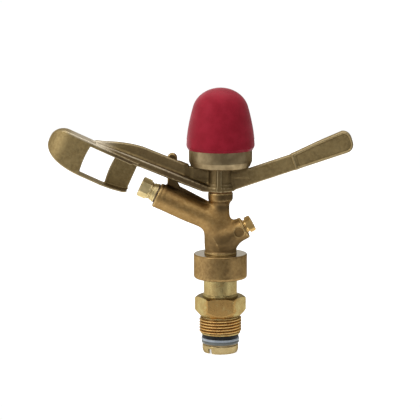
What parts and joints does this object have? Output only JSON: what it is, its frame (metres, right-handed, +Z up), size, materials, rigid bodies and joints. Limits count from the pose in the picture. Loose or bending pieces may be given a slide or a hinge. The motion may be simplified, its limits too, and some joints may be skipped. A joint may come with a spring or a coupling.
{
  "type": "impact sprinkler",
  "caption": "Full-circle brass impact sprinkler with a male threaded inlet, a slotted swinging arm with spoon and tail, two nozzles and a red spring cap.",
  "frame": {"origin": "on the turning axis, at the lower end of the inlet thread", "axes": "+Z up along the turning axis, -X along the way the barrel points, -Y the side the arm swings to"},
  "size_m": [0.1893, 0.0424, 0.1663],
  "materials": {
    "turned_brass": "turned, bright",
    "cast_brass": "blasted casting, matte",
    "dull_brass": "tumbled casting, olive brown",
    "cup_brass": "turned, satin",
    "bronze": "sintered",
    "black_rubber": "matte",
    "grey_nylon": "satin",
    "white_plastic": "satin",
    "steel": "drawn wire and pressed washers",
    "red_plastic": "moulded, matte"
  },
  "bodies": {
    "nipple": {"bearing_nipple": "turned_brass", "lower_spring_washer": "steel", "bearing_spring": "steel"},
    "washers": {"rubber_washer": "black_rubber", "nylon_washer": "grey_nylon", "backing_washer": "dull_brass"},
    "head": {"stem_tube": "turned_brass", "upper_spring_washer": "steel", "spring_hood": "cast_brass", "sprinkler_body": "cast_brass", "range_nozzle": "turned_brass", "range_nozzle_seal": "black_rubber", "stream_straightener": "white_plastic", "spreader_nozzle": "turned_brass", "pivot_shaft": "steel", "thrust_washer": "bronze", "spring_retainer": "white_plastic", "retainer_washer": "steel", "shaft_nut": "turned_brass"},
    "arm": {"impact_arm": "dull_brass", "arm_bushing": "bronze", "spring_cup": "cup_brass", "arm_spring": "steel", "spring_cap": "red_plastic"}
  },
  "joints": [
    {"name": "head_press", "type": "slide", "parent": "nipple", "child": "washers", "axis": [0, 0, 1], "range_m": [-0.0015, 0], "stiffness_N_per_m": 4000, "springref_m": 0.006, "deforming": ["bearing_spring"]},
    {"name": "head_turn", "type": "hinge", "parent": "washers", "child": "head", "pos_m": [0, 0, 0], "axis": [0, 0, 1], "continuous": true},
    {"name": "arm_swing", "type": "hinge", "parent": "head", "child": "arm", "pos_m": [0, 0, 0.095], "axis": [0, 0, 1], "range_deg": [0, 110], "stiffness_Nm_per_rad": 0.06, "springref_deg": -34.38, "deforming": ["arm_spring"]}
  ]
}
